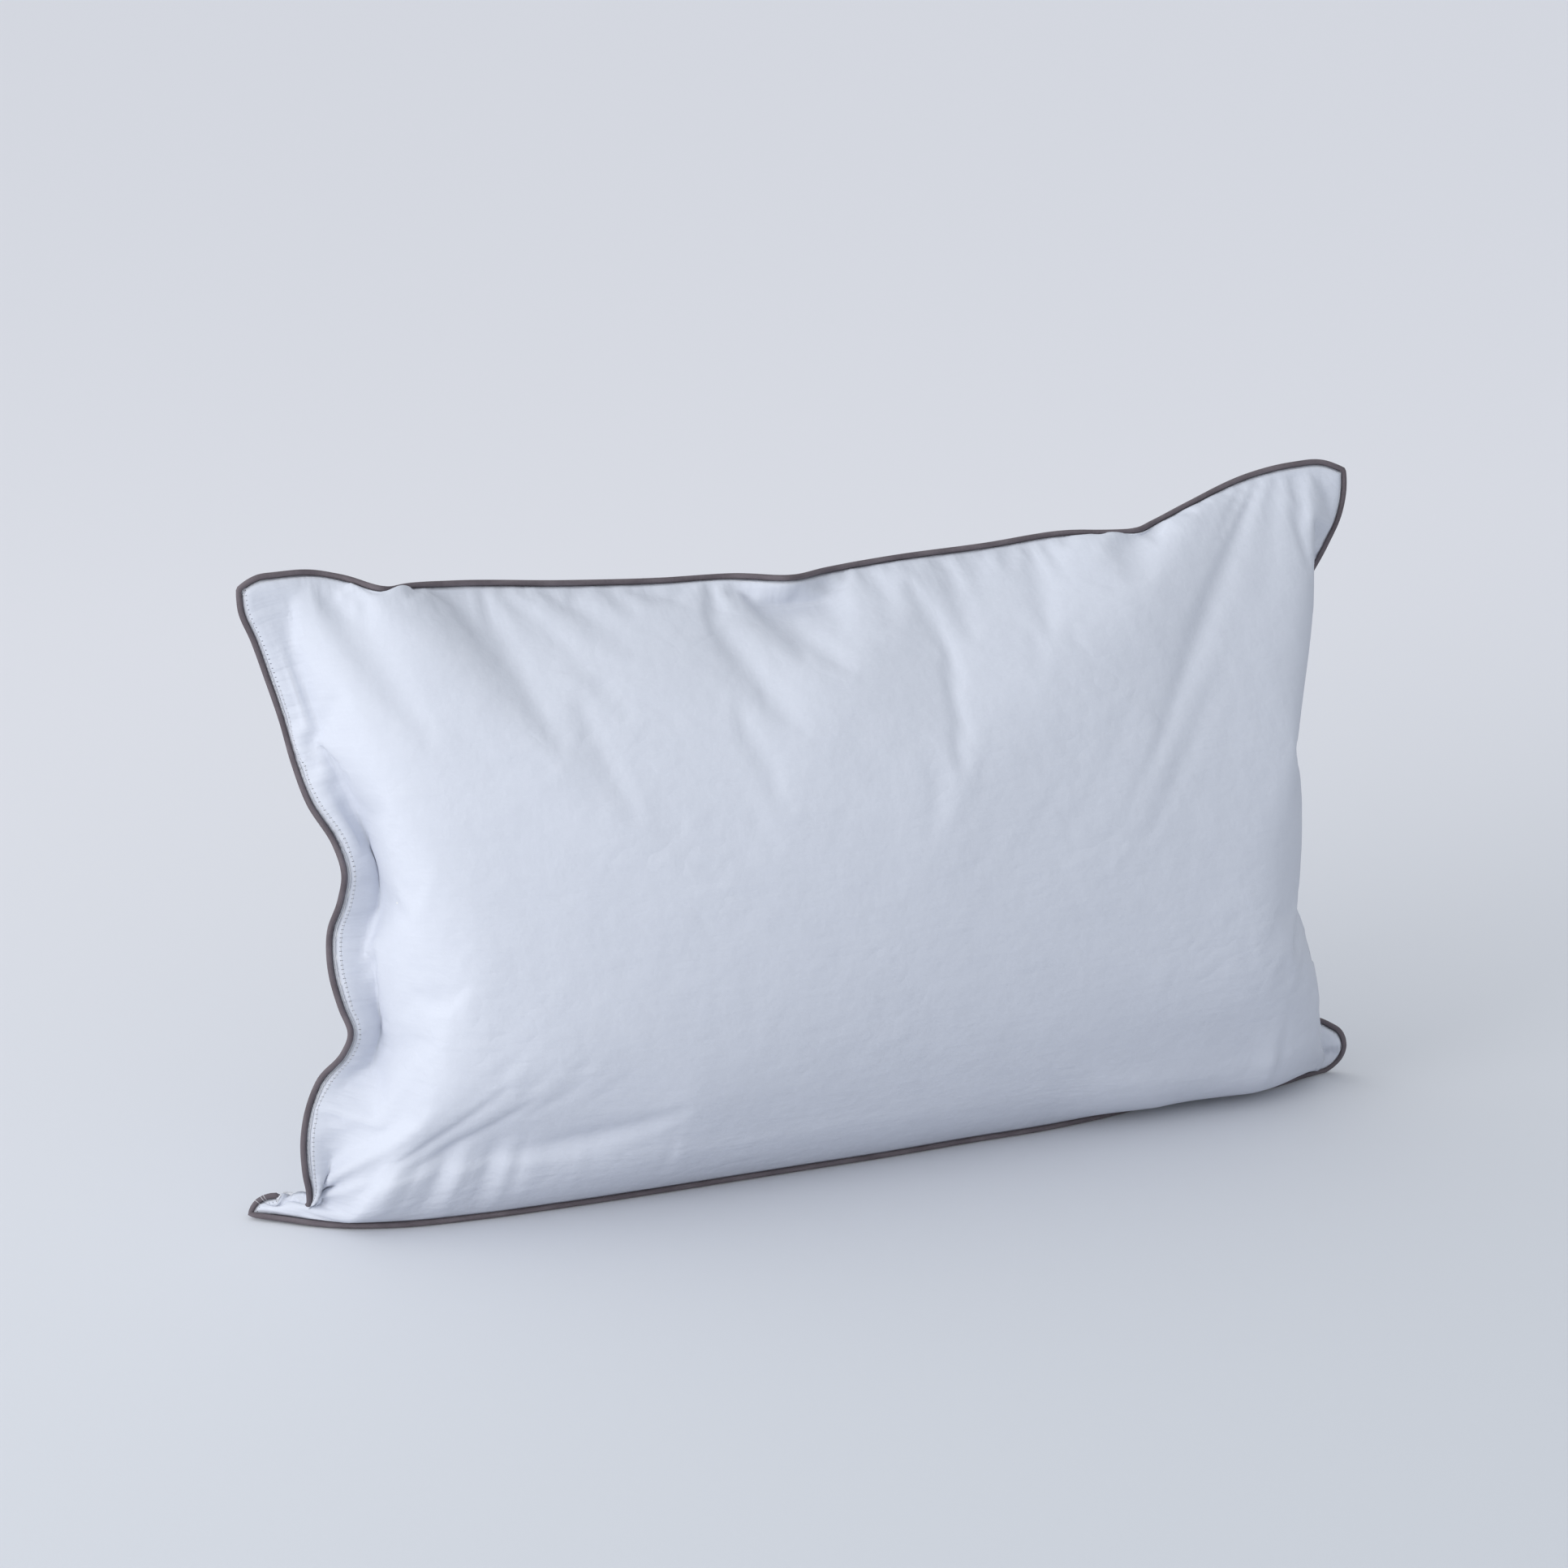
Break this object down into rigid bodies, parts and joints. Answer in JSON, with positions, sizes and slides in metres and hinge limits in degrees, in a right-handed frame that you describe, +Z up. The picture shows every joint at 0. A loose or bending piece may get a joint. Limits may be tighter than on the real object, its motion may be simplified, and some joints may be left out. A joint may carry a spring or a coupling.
{
  "type": "bed pillow",
  "caption": "Rectangular feather and down bed pillow in white cotton with a grey piped seam, standing on one long edge.",
  "frame": {"origin": "on the floor, under the middle of the pillow's bounding box, where it stands on its lower long edge", "axes": "+X along the pillow's length, +Y towards its back, the way it leans, +Z up"},
  "size_m": [0.7548, 0.2267, 0.419],
  "materials": {
    "ticking": "fine downproof cotton, bluish white, matt",
    "piping": "dark warm grey cotton bias strip with a visible weave",
    "filler_cord": "soft twisted cotton cord",
    "thread": "white polyester sewing thread",
    "filling": "white feather and down"
  },
  "bodies": {
    "root": {"front_panel": "ticking", "back_panel": "ticking", "filling": "filling", "piping_cover": "piping", "piping_filler_cord": "filler_cord", "piping_thread": "thread", "seam_needle_thread": "thread", "seam_bobbin_thread": "thread", "overlock_thread": "thread", "closing_needle_thread": "thread", "closing_bobbin_thread": "thread", "corner_tack_thread": "thread"}
  },
  "joints": []
}
